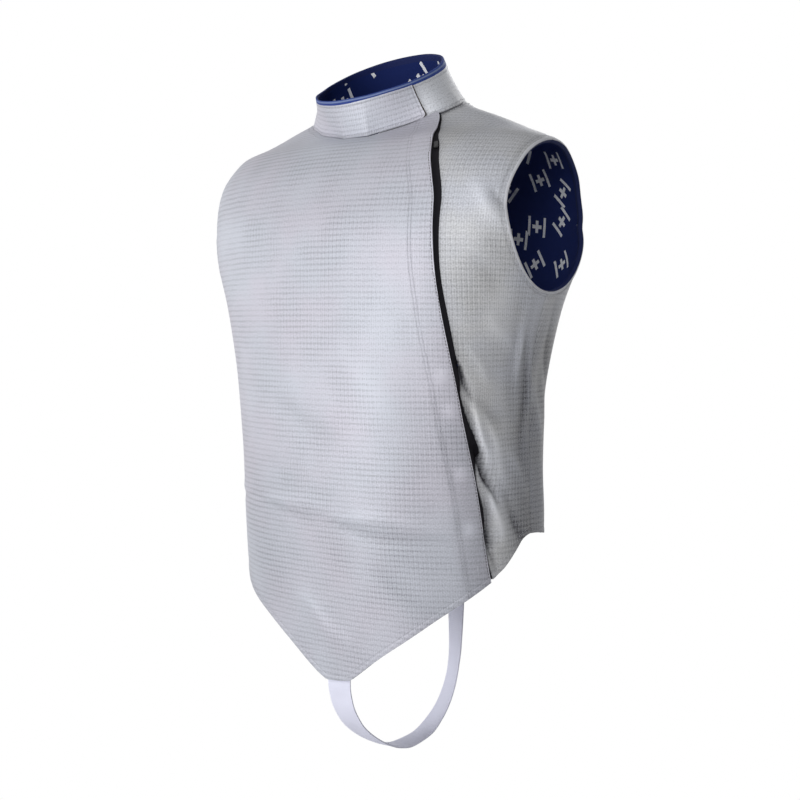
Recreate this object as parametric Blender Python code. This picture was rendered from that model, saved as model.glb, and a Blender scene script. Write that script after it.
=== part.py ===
# Foil lame: a sleeveless conductive vest in its worn, hollow form.
# The wearer faces -Y, the wearer's left is +X and up is +Z. The origin is the middle of the neck opening,
# level with the points where the shoulder seams meet the collar.
# Every cloth piece is a grid laid on one torso form, in or out by its layer, and extruded to its thickness.

from collections import namedtuple
import math

import bmesh
import bpy
from mathutils import Matrix, Vector

# ---- cloth layers
SHELL_THICKNESS = 0.0014
TAPE_THICKNESS = 0.0010
LINING_THICKNESS = 0.0010
GAP = 0.0003
TAPE_OUT = -SHELL_THICKNESS - GAP
LINING_OUT = TAPE_OUT - TAPE_THICKNESS - GAP

# ---- torso form: level sections, each a rounded rectangle between an ellipse and a box
Ring = namedtuple("Ring", "height half_width front back side_y squareness")
RINGS = [
    Ring(-0.640, 0.170, 0.106, 0.092, 0.009, 2.7),
    Ring(-0.480, 0.172, 0.127, 0.082, 0.009, 2.8),
    Ring(-0.390, 0.170, 0.136, 0.081, 0.009, 2.8),
    Ring(-0.300, 0.172, 0.137, 0.095, 0.004, 2.8),
    Ring(-0.210, 0.189, 0.134, 0.112, 0.000, 2.8),
    Ring(-0.140, 0.214, 0.135, 0.118, 0.003, 2.8),
    Ring(-0.083, 0.216, 0.124, 0.110, 0.004, 2.7),
    Ring(-0.042, 0.199, 0.088, 0.103, -0.004, 2.3),
    Ring(-0.030, 0.172, 0.062, 0.098, -0.006, 2.2),
    Ring(-0.014, 0.136, 0.041, 0.090, -0.006, 2.1),
    Ring(0.000, 0.100, 0.030, 0.080, -0.003, 2.1),
    Ring(0.007, 0.088, 0.022, 0.066, 0.001, 2.1),
    Ring(0.018, 0.073, 0.012, 0.045, 0.012, 2.0),
]

# ---- cut lines of the body, by the turn round it: 0 front middle, 90 left side, -90 right, 180 back
Cut = namedtuple("Cut", "turn hem shoulder neck")
CUTS = [
    Cut(-180, -0.452, -0.036, 0.016),
    Cut(-130, -0.450, -0.043, 0.013),
    Cut(-90, -0.444, -0.043, 0.005),
    Cut(-58, -0.491, -0.043, -0.004),
    Cut(-43, -0.518, -0.050, -0.010),
    Cut(-30, -0.540, -0.057, -0.016),
    Cut(-20, -0.562, -0.065, -0.023),
    Cut(-5, -0.597, -0.077, -0.033),
    Cut(5, -0.600, -0.077, -0.033),
    Cut(20, -0.567, -0.065, -0.023),
    Cut(30, -0.544, -0.057, -0.016),
    Cut(43, -0.516, -0.050, -0.010),
    Cut(58, -0.491, -0.043, -0.004),
    Cut(68, -0.474, -0.043, -0.001),
    Cut(90, -0.441, -0.043, 0.005),
    Cut(130, -0.449, -0.043, 0.013),
    Cut(180, -0.452, -0.036, 0.016),
]
UNDER_ARM = -0.195
TIP_TURN = 5
SEAM_TURN = 0.1
ROWS_BELOW_ARM = 8
ROWS_OF_ARMHOLE = 10
ROWS_OF_SHOULDER = 5
ROWS = ROWS_BELOW_ARM + ROWS_OF_ARMHOLE + ROWS_OF_SHOULDER

# ---- armhole: an oval in the side view
ARMHOLE_Y = 0.005
ARMHOLE_TO_FRONT = 0.082
ARMHOLE_TO_BACK = 0.071
ARMHOLE_BACK_SWELL = 0.22
BINDING_WIDTH = 0.0024
BINDING_PROUD = 0.0006

# ---- front opening, from the hem to the neck: the flap's edge and the strip of zip tape beside it
Opening = namedtuple("Opening", "height x strip")
OPENING = [
    Opening(-0.500, 0.164, 0.005),
    Opening(-0.390, 0.156, 0.003),
    Opening(-0.320, 0.150, 0.005),
    Opening(-0.255, 0.145, 0.006),
    Opening(-0.180, 0.139, 0.005),
    Opening(-0.110, 0.137, 0.005),
    Opening(-0.060, 0.122, 0.006),
    Opening(-0.035, 0.107, 0.006),
    Opening(-0.005, 0.080, 0.004),
]
FLAP_LIFT = 0.0030
FLAP_LIFT_REACH = 0.035
SLIDER_HEIGHT = -0.052
SLIDER_WIDTH = 0.0046
SLIDER_LENGTH = 0.0090
SLIDER_THICKNESS = 0.0024
SLIDER_BEVEL = 0.0007

# ---- columns of the front and back grids
COLUMNS_RIGHT = 8
COLUMNS_TIP = 1
COLUMNS_LEFT_OF_TIP = 7
COLUMNS_STRIP = 1
COLUMNS_SIDE = 5
COLUMNS_BACK = 14

# ---- collar
NECK_Y = -0.009
COLLAR_RIM_HALF_WIDTH = 0.073
COLLAR_RIM_HALF_DEPTH = 0.064
COLLAR_RIM_Y = -0.022
COLLAR_RIM_HEIGHT = 0.032
COLLAR_RIM_SLOPE = 0.50
COLLAR_HEIGHT = 0.040
COLLAR_FLARE = 0.25
COLLAR_CLEARANCE = 0.0015
COLLAR_LAYER_GAP = 0.0007
COLLAR_TAB_END = 61
COLLAR_UNDERLAP_END = 30
COLLAR_TAB_EASE = 25
COLLAR_BAND_HEIGHT = 0.0055
COLLAR_STEP = 10
COLLAR_ROWS = 2

# ---- strap under the point, in the middle plane
STRAP_WIDTH = 0.030
STRAP_THICKNESS = 0.0016
StrapPoint = namedtuple("StrapPoint", "x y height twist")
STRAP = [
    StrapPoint(0.000, -0.0920, -0.578, 0),
    StrapPoint(0.000, -0.0935, -0.604, 0),
    StrapPoint(0.000, -0.0895, -0.624, 0),
    StrapPoint(0.000, -0.0745, -0.650, 0),
    StrapPoint(0.000, -0.0480, -0.673, 0),
    StrapPoint(0.000, -0.0080, -0.694, 0),
    StrapPoint(0.001, 0.0160, -0.699, 3),
    StrapPoint(0.004, 0.0450, -0.695, 9),
    StrapPoint(0.007, 0.0670, -0.682, 17),
    StrapPoint(0.010, 0.0860, -0.660, 25),
    StrapPoint(0.012, 0.0975, -0.630, 26),
    StrapPoint(0.013, 0.1010, -0.600, 20),
    StrapPoint(0.013, 0.1020, -0.560, 16),
    StrapPoint(0.013, 0.0980, -0.510, 8),
    StrapPoint(0.013, 0.0855, -0.458, 0),
    StrapPoint(0.013, 0.0845, -0.436, 0),
]
STRAP_ROWS = 40

# ---- largest folds: soft troughs (depth below zero) and ridges on the front, from one end to the other
Fold = namedtuple("Fold", "turn_a height_a turn_b height_b depth width")
FOLDS = [
    Fold(52, -0.300, 78, -0.420, -0.006, 0.011),
    Fold(-30, -0.409, 35, -0.441, 0.003, 0.010),
    Fold(-30, -0.423, 35, -0.455, -0.003, 0.009),
]

# ---- colours: red, green, blue, roughness, metallic
SILVER = (0.52, 0.53, 0.58, 0.45, 0.5)
NAVY = (0.010, 0.018, 0.085, 0.80, 0.0)
BLUE = (0.050, 0.085, 0.330, 0.80, 0.0)
BLACK = (0.012, 0.012, 0.015, 0.70, 0.0)
GREY_TAPE = (0.50, 0.51, 0.54, 0.70, 0.1)
WEBBING = (0.66, 0.68, 0.84, 0.75, 0.0)
STEEL = (0.25, 0.25, 0.27, 0.35, 1.0)


def smooth_value(places, values, place):
    """Cubic through the values that keeps between its neighbours."""
    last = len(places) - 1
    spans = [places[k + 1] - places[k] for k in range(last)]
    rises = [(values[k + 1] - values[k]) / spans[k] for k in range(last)]
    place = min(max(place, places[0]), places[-1])
    k = max(n for n in range(last) if places[n] <= place)

    def slope(n):
        if n == 0:
            return rises[0]
        if n == last:
            return rises[-1]
        before, after = rises[n - 1], rises[n]
        if before * after <= 0:
            return 0.0
        return 2 * before * after / (before + after)

    s = (place - places[k]) / spans[k]
    return (
        values[k] * (1 + 2 * s) * (1 - s) ** 2
        + values[k + 1] * s * s * (3 - 2 * s)
        + slope(k) * spans[k] * s * (1 - s) ** 2
        - slope(k + 1) * spans[k] * s * s * (1 - s)
    )


def column(rows, key, name, place):
    return smooth_value([getattr(r, key) for r in rows], [getattr(r, name) for r in rows], place)


def smooth_step(s):
    s = min(max(s, 0.0), 1.0)
    return s * s * (3 - 2 * s)


def find_turn(low, high, is_past):
    """Turn between low and high where is_past changes from false to true."""
    for _ in range(40):
        middle = (low + high) / 2
        if is_past(middle):
            high = middle
        else:
            low = middle
    return (low + high) / 2


def wrapped(turn):
    return (turn + 180) % 360 - 180


# ---- the torso form
def form_point(turn, height):
    """Point of the plain form, with no folds."""
    half_width = column(RINGS, "height", "half_width", height)
    square = column(RINGS, "height", "squareness", height)
    sine = math.sin(math.radians(turn))
    cosine = math.cos(math.radians(turn))
    depth = column(RINGS, "height", "front" if cosine > 0 else "back", height)
    side_y = column(RINGS, "height", "side_y", height)
    reach = (abs(sine) ** square + abs(cosine) ** square) ** (-1 / square)
    return Vector((reach * half_width * sine, side_y - reach * depth * cosine, height))


def fold_height(turn, height):
    """How far the folds push the cloth out at one place."""
    here = form_point(turn, height)
    total = 0.0
    for fold in FOLDS:
        start = form_point(fold.turn_a, fold.height_a)
        along = form_point(fold.turn_b, fold.height_b) - start
        s = (here - start).dot(along) / along.length_squared
        if not 0 < s < 1:
            continue
        away = (here - start - along * s).length
        total += fold.depth * math.sin(math.pi * s) * math.exp(-((away / fold.width) ** 2))
    return total


def torso_point(turn, height, out):
    """Point of a layer that lies the distance out from the form, folds included."""
    step_turn = 0.5
    step_height = 0.001
    across = form_point(turn + step_turn, height) - form_point(turn - step_turn, height)
    up = form_point(turn, height + step_height) - form_point(turn, height - step_height)
    normal = across.cross(up).normalized()
    return form_point(turn, height) + normal * (out + fold_height(wrapped(turn), height))


# ---- cut lines
def row_share(row):
    """Place of a row: 0 hem, 1 under the arm, 2 shoulder tip, 3 neck."""
    if row <= ROWS_BELOW_ARM:
        return row / ROWS_BELOW_ARM
    row -= ROWS_BELOW_ARM
    if row <= ROWS_OF_ARMHOLE:
        return 1.5 - 0.5 * math.cos(math.pi * row / ROWS_OF_ARMHOLE)
    return 2 + (row - ROWS_OF_ARMHOLE) / ROWS_OF_SHOULDER


def row_height(row, turn):
    share = row_share(row)
    turn = wrapped(turn)
    hem = column(CUTS, "turn", "hem", turn)
    shoulder = column(CUTS, "turn", "shoulder", turn)
    neck = column(CUTS, "turn", "neck", turn)
    if share <= 1:
        return hem + (UNDER_ARM - hem) * share
    if share <= 2:
        return UNDER_ARM + (shoulder - UNDER_ARM) * (share - 1)
    return shoulder + (neck - shoulder) * (share - 2)


def armhole_reach(s, is_front):
    """Half width of the oval at s, -1 at its foot and 1 at its top: the back edge swells in the upper half."""
    if is_front:
        return ARMHOLE_TO_FRONT
    return ARMHOLE_TO_BACK * (1 + ARMHOLE_BACK_SWELL * smooth_step(s + 0.1))


def armhole_depth(height, is_front):
    """Distance of the armhole's edge from the side line at one height."""
    top = column(CUTS, "turn", "shoulder", 90)
    middle = (top + UNDER_ARM) / 2
    s = (height - middle) / (top - middle)
    return armhole_reach(s, is_front) * math.sqrt(max(0.0, 1 - s * s))


def side_turn(row, is_front):
    """Turn from the middle of the front, or of the back, to that panel's edge at the left side."""
    limit = 90 - SEAM_TURN

    def past_edge(turn):
        body_turn = turn if is_front else 180 - turn
        point = form_point(body_turn, row_height(row, body_turn))
        return abs(point.y - ARMHOLE_Y) < armhole_depth(point.z, is_front)

    if not ROWS_BELOW_ARM < row < ROWS_BELOW_ARM + ROWS_OF_ARMHOLE:
        return limit
    return min(limit, find_turn(20, 90, past_edge))


def opening_turn(row, is_past_strip):
    """Turn of the flap's edge, or of the far side of the tape strip beside it."""

    def past_opening(turn):
        point = form_point(turn, row_height(row, turn))
        edge = column(OPENING, "height", "x", point.z)
        strip = column(OPENING, "height", "strip", point.z) if is_past_strip else 0.0
        return point.x > edge + strip

    return find_turn(5, 89, past_opening)


def spread(start, end, count):
    return [start + (end - start) * n / count for n in range(count)]


def front_turns(row):
    side = side_turn(row, True)
    flap = opening_turn(row, False)
    panel = opening_turn(row, True)
    turns = spread(-side, -TIP_TURN, COLUMNS_RIGHT)
    turns += spread(-TIP_TURN, TIP_TURN, COLUMNS_TIP)
    turns += spread(TIP_TURN, flap, COLUMNS_LEFT_OF_TIP)
    turns += spread(flap, panel, COLUMNS_STRIP)
    turns += spread(panel, side, COLUMNS_SIDE)
    return turns + [side]


def back_turns(row):
    side = side_turn(row, False)
    return spread(180 - side, 180 + side, COLUMNS_BACK) + [180 + side]


# ---- making pieces
def clear_scene():
    for item in list(bpy.data.objects):
        bpy.data.objects.remove(item, do_unlink=True)


def make_material(name, look):
    material = bpy.data.materials.new(name)
    material.use_nodes = True
    shader = material.node_tree.nodes["Principled BSDF"]
    shader.inputs["Base Color"].default_value = (*look[:3], 1)
    shader.inputs["Roughness"].default_value = look[3]
    shader.inputs["Metallic"].default_value = look[4]
    return material


def add_piece(name, bm, look):
    bmesh.ops.recalc_face_normals(bm, faces=bm.faces)
    if bm.calc_volume(signed=True) < 0:
        bmesh.ops.reverse_faces(bm, faces=bm.faces)
    mesh = bpy.data.meshes.new(name)
    bm.to_mesh(mesh)
    bm.free()
    mesh.shade_smooth()
    mesh.set_sharp_from_angle(angle=math.radians(40))
    piece = bpy.data.objects.new(name, mesh)
    mesh.materials.append(make_material(name, look))
    bpy.data.collections["foil_lame"].objects.link(piece)
    return piece


def add_sheet(name, look, columns, rows, place):
    """Grid whose outer and inner points are place(column, row, True or False), joined at its edges."""
    bm = bmesh.new()
    bmesh.ops.create_grid(bm, x_segments=columns, y_segments=rows, size=0.5)
    outer = bm.verts[:]
    made = bmesh.ops.extrude_face_region(bm, geom=bm.faces[:], use_keep_orig=True)
    inner = [item for item in made["geom"] if isinstance(item, bmesh.types.BMVert)]
    for verts, is_outer in ((outer, True), (inner, False)):
        for vert in verts:
            column_number = round((vert.co.x + 0.5) * columns)
            row = round((vert.co.y + 0.5) * rows)
            vert.co = place(column_number, row, is_outer)
    return add_piece(name, bm, look)


def add_body_sheet(name, look, turns_of_row, first, last, out, thickness, lift=None):
    """Sheet on the torso between two columns of a row's turns."""
    turns = [turns_of_row(row)[first : last + 1] for row in range(ROWS + 1)]

    def place(column_number, row, is_outer):
        turn = turns[row][column_number]
        height = row_height(row, turn)
        extra = lift(turn, height) if lift else 0.0
        return torso_point(turn, height, out + extra - (0 if is_outer else thickness))

    return add_sheet(name, look, last - first, ROWS, place)


def flap_lift(turn, height):
    """Rise of the front flap towards its free edge."""
    edge = column(OPENING, "height", "x", height)
    inside = edge - form_point(turn, height).x
    return FLAP_LIFT * smooth_step(1 - inside / FLAP_LIFT_REACH)


def add_body():
    flap = COLUMNS_RIGHT + COLUMNS_TIP + COLUMNS_LEFT_OF_TIP
    panel = flap + COLUMNS_STRIP
    side = panel + COLUMNS_SIDE
    shell = SHELL_THICKNESS
    add_body_sheet("front_right", SILVER, front_turns, 0, flap, 0.0, shell, flap_lift)
    add_body_sheet("front_left", SILVER, front_turns, panel, side, 0.0, shell)
    add_body_sheet("back", SILVER, back_turns, 0, COLUMNS_BACK, 0.0, shell)
    add_body_sheet("zip_tape", BLACK, front_turns, flap - 1, panel + 1, TAPE_OUT, TAPE_THICKNESS)
    add_body_sheet("lining_front", NAVY, front_turns, 0, side, LINING_OUT, LINING_THICKNESS)
    add_body_sheet("lining_back", NAVY, back_turns, 0, COLUMNS_BACK, LINING_OUT, LINING_THICKNESS)


# ---- zip slider
def strip_place(height):
    """Turn of the middle of the tape strip that shows beside the flap."""
    middle = column(OPENING, "height", "x", height) + column(OPENING, "height", "strip", height) / 2
    return find_turn(5, 89, lambda turn: form_point(turn, height).x > middle)


def add_zip_slider():
    turn = strip_place(SLIDER_HEIGHT)
    base = torso_point(turn, SLIDER_HEIGHT, TAPE_OUT + GAP)
    centre = torso_point(turn, SLIDER_HEIGHT, TAPE_OUT + GAP + SLIDER_THICKNESS / 2)
    outward = (centre - base).normalized()
    above = SLIDER_HEIGHT + SLIDER_LENGTH / 2
    along = torso_point(strip_place(above), above, TAPE_OUT + GAP) - base
    along = (along - outward * along.dot(outward)).normalized()
    across = along.cross(outward)
    turned = Matrix((across, along, outward)).transposed().to_4x4()
    sized = Matrix.Diagonal((SLIDER_WIDTH, SLIDER_LENGTH, SLIDER_THICKNESS, 1))
    bm = bmesh.new()
    bmesh.ops.create_cube(bm, size=1)
    bmesh.ops.transform(bm, matrix=sized, verts=bm.verts)
    bmesh.ops.bevel(bm, geom=bm.edges[:], offset=SLIDER_BEVEL, segments=2, profile=0.5, affect="EDGES")
    bmesh.ops.transform(bm, matrix=Matrix.Translation(centre) @ turned, verts=bm.verts)
    add_piece("zip_slider", bm, STEEL)


# ---- armhole bindings
def armhole_corner(side, angle, inset, out):
    """Point inside the armhole's edge: angle 0 under the arm, 90 at the front, 180 at the shoulder."""
    top = column(CUTS, "turn", "shoulder", 90)
    middle = (top + UNDER_ARM) / 2
    s = -math.cos(math.radians(angle))
    height = middle + (top - middle - inset) * s
    sine = math.sin(math.radians(angle))
    is_front = sine >= 0
    reach = armhole_reach(s, is_front) - inset

    def past_edge(turn):
        body_turn = turn if is_front else 180 - turn
        return abs(form_point(body_turn, height).y - ARMHOLE_Y) < reach * abs(sine)

    turn = find_turn(20, 90, past_edge)
    body_turn = turn if is_front else 180 - turn
    return torso_point(side * body_turn, height, out)


def add_armhole_binding(name, side):
    steps = 2 * ROWS_OF_ARMHOLE
    proud = BINDING_PROUD
    deep = LINING_OUT - LINING_THICKNESS - BINDING_PROUD
    corners = [(GAP, proud), (GAP, deep), (GAP + BINDING_WIDTH, deep), (GAP + BINDING_WIDTH, proud)]
    bm = bmesh.new()
    loops = []
    for inset, out in corners:
        points = [armhole_corner(side, 360 * n / steps, inset, out) for n in range(steps)]
        verts = [bm.verts.new(point) for point in points]
        loops.append([bm.edges.new((verts[n], verts[(n + 1) % steps])) for n in range(steps)])
    for n in range(len(corners)):
        bmesh.ops.bridge_loops(bm, edges=loops[n] + loops[(n + 1) % len(corners)])
    add_piece(name, bm, GREY_TAPE)


# ---- collar
def neck_point(around):
    """Point of the neck seam in the plan direction around, 0 front and 90 left."""
    around = wrapped(around)
    sign = -1 if around < 0 else 1

    def past_direction(turn):
        point = form_point(turn, column(CUTS, "turn", "neck", sign * turn))
        return math.degrees(math.atan2(point.x, NECK_Y - point.y)) > abs(around)

    turn = find_turn(0, 180, past_direction)
    point = form_point(turn, column(CUTS, "turn", "neck", sign * turn))
    return Vector((sign * point.x, point.y, point.z))


def collar_point(around, share, out):
    """Point of the collar, share 0 at the neck seam and 1 at the top of the silver band."""
    base = neck_point(around) + Vector((0, 0, COLLAR_CLEARANCE))
    angle = math.radians(around)
    sine, cosine = math.sin(angle), math.cos(angle)
    from_middle = -COLLAR_RIM_HALF_DEPTH * cosine
    rim = Vector((COLLAR_RIM_HALF_WIDTH * sine, COLLAR_RIM_Y + from_middle, COLLAR_RIM_HEIGHT))
    rim.z += COLLAR_RIM_SLOPE * from_middle
    outward = Vector((sine, -cosine, COLLAR_FLARE)).normalized()
    return base.lerp(rim, share) + outward * (out - GAP)


def add_collar_sheet(name, look, start, end, shares, out_at, thickness):
    """Collar layer between two directions; every layer's columns stand at the same marks."""
    marks = [mark for mark in range(-180, 540, COLLAR_STEP) if start < mark < end]
    columns = [start] + marks + [end]

    def place(column_number, row, is_outer):
        around = columns[column_number]
        return collar_point(around, shares[row], out_at(around) - (0 if is_outer else thickness))

    return add_sheet(name, look, len(columns) - 1, len(shares) - 1, place)


def tab_out(around):
    """The right half of the collar rises over the underlap of the left half."""
    over = SHELL_THICKNESS + COLLAR_LAYER_GAP
    return over * smooth_step((around - COLLAR_UNDERLAP_END + COLLAR_TAB_EASE) / (COLLAR_TAB_EASE - 3))


def flush(around):
    return 0.0


def under_silver(around):
    return -SHELL_THICKNESS - COLLAR_LAYER_GAP


def add_collar():
    shares = [row / COLLAR_ROWS for row in range(COLLAR_ROWS + 1)]
    band = [1 + GAP / COLLAR_HEIGHT, 1 + (GAP + COLLAR_BAND_HEIGHT) / COLLAR_HEIGHT]
    band_thickness = SHELL_THICKNESS + GAP + LINING_THICKNESS
    right_end, left_end = SEAM_TURN - 180, 180 - SEAM_TURN
    start, end = COLLAR_TAB_END + SEAM_TURN, 360 + COLLAR_TAB_END - SEAM_TURN
    shell, lining = SHELL_THICKNESS, LINING_THICKNESS
    add_collar_sheet("collar_right", SILVER, right_end, COLLAR_TAB_END, shares, tab_out, shell)
    add_collar_sheet("collar_left", SILVER, COLLAR_UNDERLAP_END, left_end, shares, flush, shell)
    add_collar_sheet("collar_lining", NAVY, start, end, shares, under_silver, lining)
    add_collar_sheet("collar_band", BLUE, start, end, band, flush, band_thickness)


# ---- strap
def strap_place(share):
    """Middle, direction and twist of the strap at a share of its rows."""
    places = list(range(len(STRAP)))
    at = share * (len(STRAP) - 1)
    step = 0.05

    def middle(place):
        x = smooth_value(places, [p.x for p in STRAP], place)
        y = smooth_value(places, [p.y for p in STRAP], place)
        z = smooth_value(places, [p.height for p in STRAP], place)
        return Vector((x, y, z))

    low = min(max(at, step), len(STRAP) - 1 - step)
    ahead = (middle(low + step) - middle(low - step)).normalized()
    return middle(at), ahead, smooth_value(places, [p.twist for p in STRAP], at)


def add_strap():
    def place(column_number, row, is_outer):
        centre, ahead, twist = strap_place(row / STRAP_ROWS)
        angle = math.radians(twist)
        flat = Vector((1, 0, 0)).cross(ahead)
        across = Vector((1, 0, 0)) * math.cos(angle) + flat * math.sin(angle)
        normal = across.cross(ahead)
        depth = STRAP_THICKNESS / 2 if is_outer else -STRAP_THICKNESS / 2
        return centre + across * (column_number - 0.5) * STRAP_WIDTH + normal * depth

    add_sheet("strap", WEBBING, 1, STRAP_ROWS, place)


def main():
    clear_scene()
    group = bpy.data.collections.new("foil_lame")
    bpy.context.scene.collection.children.link(group)
    add_body()
    add_zip_slider()
    add_armhole_binding("armhole_binding_left", 1)
    add_armhole_binding("armhole_binding_right", -1)
    add_collar()
    add_strap()


main()
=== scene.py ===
import bpy
import math
import numpy as np
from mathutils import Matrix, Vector


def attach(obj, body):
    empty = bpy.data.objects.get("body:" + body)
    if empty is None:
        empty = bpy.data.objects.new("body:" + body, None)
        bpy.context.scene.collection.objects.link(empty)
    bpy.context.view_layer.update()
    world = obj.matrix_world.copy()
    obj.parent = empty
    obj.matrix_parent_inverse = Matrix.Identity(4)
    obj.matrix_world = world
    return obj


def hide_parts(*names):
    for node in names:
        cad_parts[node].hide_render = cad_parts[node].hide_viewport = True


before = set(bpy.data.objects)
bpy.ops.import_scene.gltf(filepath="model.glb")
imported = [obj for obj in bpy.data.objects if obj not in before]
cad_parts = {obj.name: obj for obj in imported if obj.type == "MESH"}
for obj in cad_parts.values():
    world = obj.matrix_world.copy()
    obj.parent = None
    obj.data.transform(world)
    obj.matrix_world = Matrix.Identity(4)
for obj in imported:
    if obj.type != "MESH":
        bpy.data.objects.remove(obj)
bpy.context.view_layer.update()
print("frame loaded:", len(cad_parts), "nodes")

# the worn form: level sections from the point of the hem up to the neck, in metres
formSections = {
    "height": [-0.64, -0.48, -0.39, -0.30, -0.21, -0.14, -0.083, -0.042, -0.030, -0.014, 0.0, 0.007, 0.018],
    "halfWidth": [0.170, 0.172, 0.170, 0.172, 0.189, 0.214, 0.216, 0.199, 0.172, 0.136, 0.100, 0.088, 0.073],
    "front": [0.106, 0.127, 0.136, 0.137, 0.134, 0.135, 0.124, 0.088, 0.062, 0.041, 0.030, 0.022, 0.012],
    "back": [0.092, 0.082, 0.081, 0.095, 0.112, 0.118, 0.110, 0.103, 0.098, 0.090, 0.080, 0.066, 0.045],
    "sideY": [0.009, 0.009, 0.009, 0.004, 0.0, 0.003, 0.004, -0.004, -0.006, -0.006, -0.003, 0.001, 0.012],
    "square": [2.7, 2.8, 2.8, 2.8, 2.8, 2.8, 2.7, 2.3, 2.2, 2.1, 2.1, 2.1, 2.0],
}
easing = {"height": [-0.64, -0.20, -0.09, -0.04, 0.0], "reach": [0.030, 0.022, 0.012, 0.005, 0.002],
          "step": (-1, -0.5, 0, 0.5, 1), "share": (0.12, 0.22, 0.32, 0.22, 0.12)}

# cut lines by the turn round the body: 0 front middle, 90 left side, -90 right side, 180 back
cutLines = {
    "turn": [-180, -130, -90, -58, -43, -30, -20, -4, -3, 7.5, 8.5, 20, 30, 43, 58, 68, 90, 130, 180],
    "hem": [-0.452, -0.450, -0.444, -0.491, -0.518, -0.540, -0.562, -0.5985, -0.5995, -0.5955, -0.5935,
            -0.567, -0.545, -0.5165, -0.489, -0.474, -0.441, -0.449, -0.452],
    "shoulder": [-0.036, -0.043, -0.043, -0.043, -0.050, -0.057, -0.065, -0.076, -0.077, -0.077, -0.076,
                 -0.065, -0.057, -0.050, -0.043, -0.043, -0.043, -0.043, -0.036],
    "neck": [0.016, 0.013, 0.005, -0.004, -0.010, -0.016, -0.023, -0.032, -0.033, -0.033, -0.032,
             -0.023, -0.016, -0.010, -0.004, -0.001, 0.005, 0.013, 0.016],
}
openingLine = {  # the flap's edge, hem to neck
    "height": [-0.500, -0.390, -0.320, -0.255, -0.180, -0.110, -0.086, -0.060, -0.050, -0.038, -0.028,
               -0.017, -0.005],
    "x": [0.164, 0.156, 0.150, 0.145, 0.139, 0.1365, 0.131, 0.121, 0.1165, 0.1095, 0.100, 0.0915, 0.080],
}
stripLine = {  # how much tape shows beside it
    "height": [-0.500, -0.478, -0.455, -0.442, -0.430, -0.412, -0.396, -0.384, -0.372, -0.362, -0.352,
               -0.340, -0.325, -0.310, -0.296, -0.278, -0.255, -0.225, -0.180, -0.135, -0.106, -0.086,
               -0.060, -0.050, -0.044, -0.036, -0.028, -0.005],
    "width": [0.0020, 0.0016, 0.0012, 0.0020, 0.0030, 0.0030, 0.0020, 0.0013, 0.0018, 0.0042, 0.0062,
              0.0056, 0.0044, 0.0030, 0.0020, 0.0052, 0.0044, 0.0048, 0.0044, 0.0054, 0.0068, 0.0076,
              0.0076, 0.0068, 0.0052, 0.0034, 0.0022, 0.0012],
}

layers = {"shell": 0.0014, "tape": 0.0010, "lining": 0.0010, "gap": 0.0003}
tapeOut = -layers["shell"] - layers["gap"]
liningOut = tapeOut - layers["tape"] - layers["gap"]

armhole = {"under": -0.195, "middleY": 0.005, "toFront": 0.082, "toBack": 0.071, "backSwell": 0.22,
           "swellFrom": -0.1, "meanReach": 0.077}
seamTurn = 0.1  # half the gap at each side seam
pointTurns = (-3.0, 7.5)  # the flat end of the hem's point


def smoothCurve(table, key, name, at):
    places, values = np.array(table[key], float), np.array(table[name], float)
    at = np.clip(at, places[0], places[-1])
    spans = np.diff(places)
    rises = np.diff(values) / spans
    before, after = rises[:-1], rises[1:]
    steady = before * after > 0
    slopes = np.concatenate([rises[:1], np.zeros(len(before)), rises[-1:]])
    slopes[1:-1][steady] = 2 * (before * after)[steady] / (before + after)[steady]
    k = np.clip(np.searchsorted(places, at, side="right") - 1, 0, len(spans) - 1)
    s = (at - places[k]) / spans[k]
    return (values[k] * (1 + 2 * s) * (1 - s) ** 2 + values[k + 1] * s * s * (3 - 2 * s)
            + slopes[k] * spans[k] * s * (1 - s) ** 2 - slopes[k + 1] * spans[k] * s * s * (1 - s))


def formAt(name, height):
    return smoothCurve(formSections, "height", name, height)


def cutAt(name, turn):
    return smoothCurve(cutLines, "turn", name, turn)


def edgeX(height):  # where the flap's edge runs
    return smoothCurve(openingLine, "height", "x", height)


def smoothStep(s):
    s = np.clip(s, 0, 1)
    return s * s * (3 - 2 * s)


def easeBetween(value, start, end):  # 0 at the start and 1 at the end
    return smoothStep((value - start) / (end - start))


def fade(distance, reach, power=2):  # 1 at no distance, falling off over the reach
    return np.exp(-np.abs(distance / reach) ** power)


def wrapTurn(turn):
    return (turn + 180) % 360 - 180


def plainForm(turn, height):
    sine, cosine = np.sin(np.radians(turn)), np.cos(np.radians(turn))
    square = formAt("square", height)
    depth = np.where(cosine > 0, formAt("front", height), formAt("back", height))
    reach = (np.abs(sine) ** square + np.abs(cosine) ** square) ** (-1 / square)
    return np.stack([reach * formAt("halfWidth", height) * sine,
                     formAt("sideY", height) - reach * depth * cosine, height + 0 * sine], -1)


def softForm(turn, height):  # the form with the sections eased into each other
    turn, height = np.broadcast_arrays(np.asarray(turn, float), np.asarray(height, float))
    reach = np.interp(height, easing["height"], easing["reach"])
    total = 0
    for step, share in zip(easing["step"], easing["share"]):
        total = total + share * plainForm(turn, height + step * reach)
    total[..., 2] = height
    return total


def outwardAt(turn, height):
    across = softForm(turn + 0.5, height) - softForm(turn - 0.5, height)
    up = softForm(turn, height + 0.001) - softForm(turn, height - 0.001)
    normal = np.cross(across, up)
    return normal / np.linalg.norm(normal, axis=-1, keepdims=True)


def shareOut(x, height):  # x as a share of the half width, and the share of the depth that goes with it
    square = formAt("square", height)
    share = np.clip(x / formAt("halfWidth", height), 0, 0.9999)
    return share, (1 - share ** square) ** (1 / square)


def turnAtX(x, height):
    return np.degrees(np.arctan2(*shareOut(x, height)))


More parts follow.
